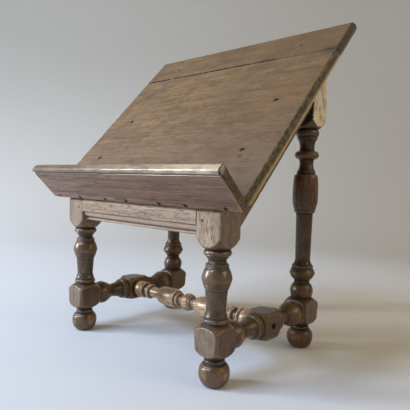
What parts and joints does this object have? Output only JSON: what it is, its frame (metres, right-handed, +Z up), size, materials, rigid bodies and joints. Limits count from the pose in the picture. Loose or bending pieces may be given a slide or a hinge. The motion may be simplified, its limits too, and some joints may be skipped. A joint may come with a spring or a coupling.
{
  "type": "tabletop lectern",
  "caption": "Table lectern with a sloping plank desk and a moulded book ledge, on turned legs joined by rails and an H-shaped stretcher.",
  "frame": {"origin": "on the table top, under the middle of the lectern's box", "axes": "+Z up, -Y towards the reader, +X to the reader's right"},
  "size_m": [0.43, 0.32, 0.5188],
  "materials": {
    "turned_wood": "waxed, dark brown",
    "rail_wood": "worn, pale",
    "desk_wood": "waxed, grey brown",
    "ledge_wood": "waxed, purple brown",
    "peg_wood": "dark, end grain",
    "iron": "forged, dull"
  },
  "bodies": {
    "root": {"front_left_leg": "turned_wood", "front_right_leg": "turned_wood", "rear_left_leg": "turned_wood", "rear_right_leg": "turned_wood", "left_side_stretcher": "turned_wood", "right_side_stretcher": "turned_wood", "cross_stretcher": "turned_wood", "front_rail": "rail_wood", "main_plank": "desk_wood", "top_plank": "desk_wood", "left_side_rail": "desk_wood", "right_side_rail": "desk_wood", "rear_rail": "desk_wood", "book_ledge": "ledge_wood", "front_rail_left_peg": "peg_wood", "front_rail_right_peg": "peg_wood", "rear_rail_left_peg": "peg_wood", "rear_rail_right_peg": "peg_wood", "main_plank_left_nail_1": "iron", "main_plank_left_nail_2": "iron", "main_plank_right_nail_1": "iron", "main_plank_right_nail_2": "iron", "top_plank_left_nail": "iron", "top_plank_right_nail": "iron", "ledge_nail_1": "iron", "ledge_nail_2": "iron", "ledge_nail_3": "iron", "ledge_nail_4": "iron", "ledge_nail_5": "iron", "ledge_nail_6": "iron", "ledge_nail_7": "iron"}
  },
  "joints": []
}
